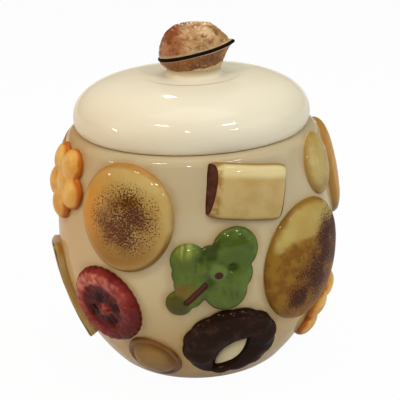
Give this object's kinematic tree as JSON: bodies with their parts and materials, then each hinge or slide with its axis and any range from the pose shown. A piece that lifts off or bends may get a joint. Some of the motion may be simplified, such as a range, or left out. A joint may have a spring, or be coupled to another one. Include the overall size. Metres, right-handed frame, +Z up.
{
  "type": "biscuit jar",
  "caption": "Round-bellied ceramic biscuit jar with glazed biscuits in relief round its side and a domed lift-off lid with a walnut-shaped knob.",
  "frame": {"origin": "centre of the foot, on the surface that the jar stands on", "axes": "+Z up along the pot's axis, -Y towards the front with the two main rows of biscuits, +X to the right of the picture, the way the walnut's tip points"},
  "size_m": [0.2221, 0.2233, 0.2539],
  "materials": {
    "cream_glaze": "glossy cream glaze, warmer and darker towards the foot, bare clay on the foot ring",
    "walnut_glaze": "glossy hand-painted glaze over raised clay",
    "speckled_glaze": "glossy hand-painted glaze over raised clay",
    "roll_glaze": "glossy hand-painted glaze over raised clay",
    "green_glaze": "glossy hand-painted glaze over raised clay",
    "crimson_glaze": "glossy hand-painted glaze over raised clay",
    "nut_glaze": "glossy hand-painted glaze over raised clay",
    "chocolate_glaze": "glossy hand-painted glaze over raised clay",
    "almond_glaze": "glossy hand-painted glaze over raised clay",
    "orange_glaze": "glossy hand-painted glaze over raised clay",
    "wafer_glaze": "glossy hand-painted glaze over raised clay"
  },
  "bodies": {
    "jar": {"jar": "cream_glaze", "speckled_biscuit_front": "speckled_glaze", "speckled_biscuit_right": "speckled_glaze", "speckled_biscuit_back": "speckled_glaze", "large_speckled_biscuit": "speckled_glaze", "fruit_roll_front": "roll_glaze", "fruit_roll_back": "roll_glaze", "clover_biscuit_front": "green_glaze", "clover_biscuit_back": "green_glaze", "crimson_biscuit_left": "crimson_glaze", "crimson_biscuit_back": "crimson_glaze", "oval_nut_low": "nut_glaze", "oval_nut_high": "nut_glaze", "oval_nut_back_low": "nut_glaze", "oval_nut_back_high": "nut_glaze", "chocolate_ring_front": "chocolate_glaze", "almond_front": "almond_glaze", "chocolate_ring_back": "chocolate_glaze", "almond_back": "almond_glaze", "orange_blossom_left": "orange_glaze", "orange_blossom_right": "orange_glaze", "orange_blossom_back": "orange_glaze", "wafer_slab_left": "wafer_glaze", "wafer_slab_back": "wafer_glaze"},
    "lid": {"lid": "cream_glaze", "walnut_knob": "walnut_glaze"}
  },
  "joints": [
    {"name": "lid_lift", "type": "slide", "parent": "jar", "child": "lid", "axis": [0, 0, 1], "range_m": [0, 0.2]}
  ]
}
